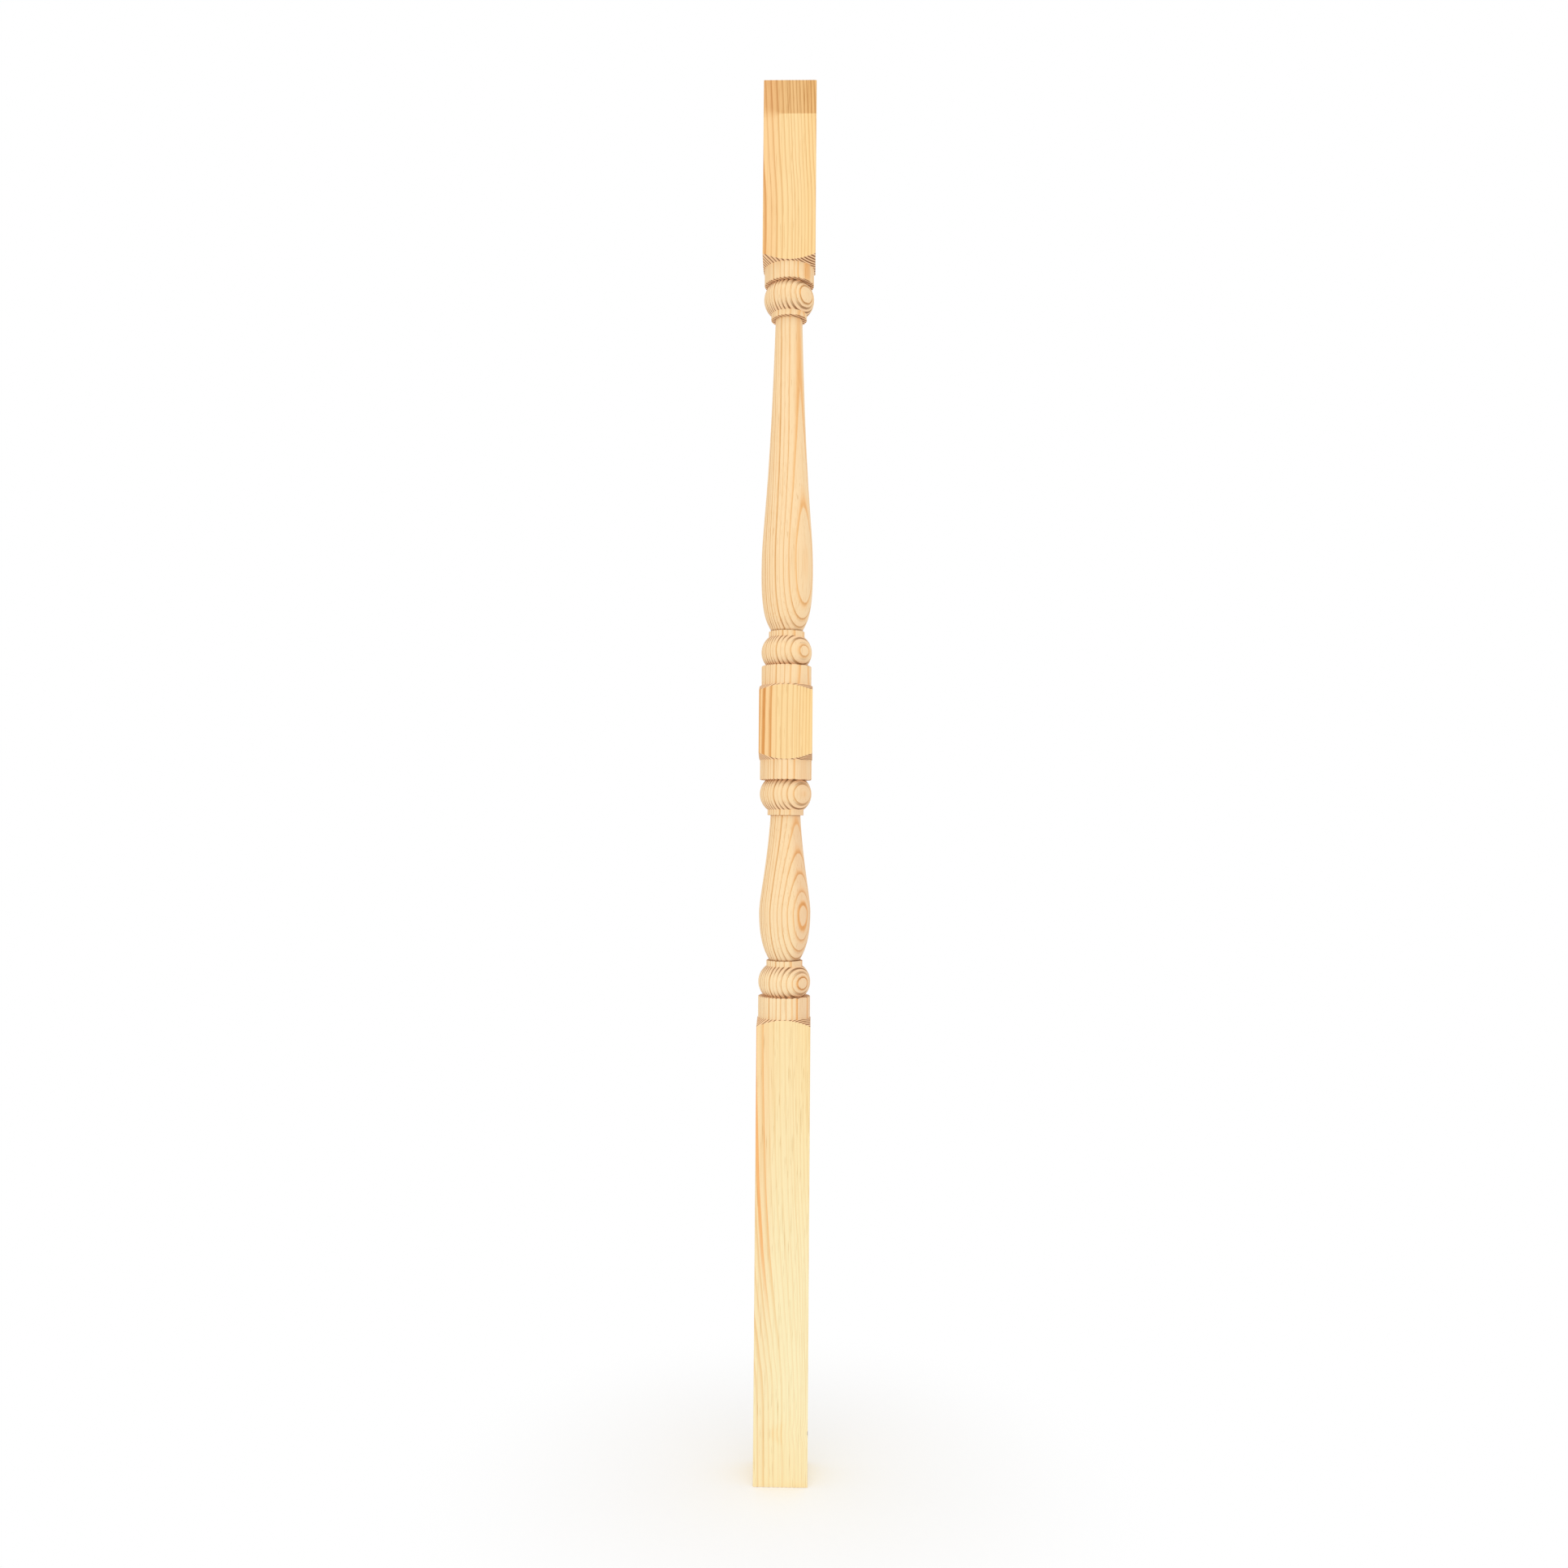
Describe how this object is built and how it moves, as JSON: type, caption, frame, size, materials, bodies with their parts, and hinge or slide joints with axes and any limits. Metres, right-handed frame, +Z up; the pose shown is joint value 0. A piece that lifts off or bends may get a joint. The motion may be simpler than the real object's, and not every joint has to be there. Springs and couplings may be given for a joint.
{
  "type": "stair baluster",
  "caption": "Turned pine stair baluster: a square stick with beads and vases turned between its blocks, fixed upright between a handrail and a base rail or tread.",
  "frame": {"origin": "centre of the foot end, on the turning axis", "axes": "+Z up along the turning axis, from the foot to the head; X and Y square to the flats, with -Y the front face"},
  "size_m": [0.042, 0.042, 1.1],
  "materials": {
    "pine": "planed and sanded, unfinished"
  },
  "bodies": {
    "root": {"baluster": "pine"}
  },
  "joints": []
}
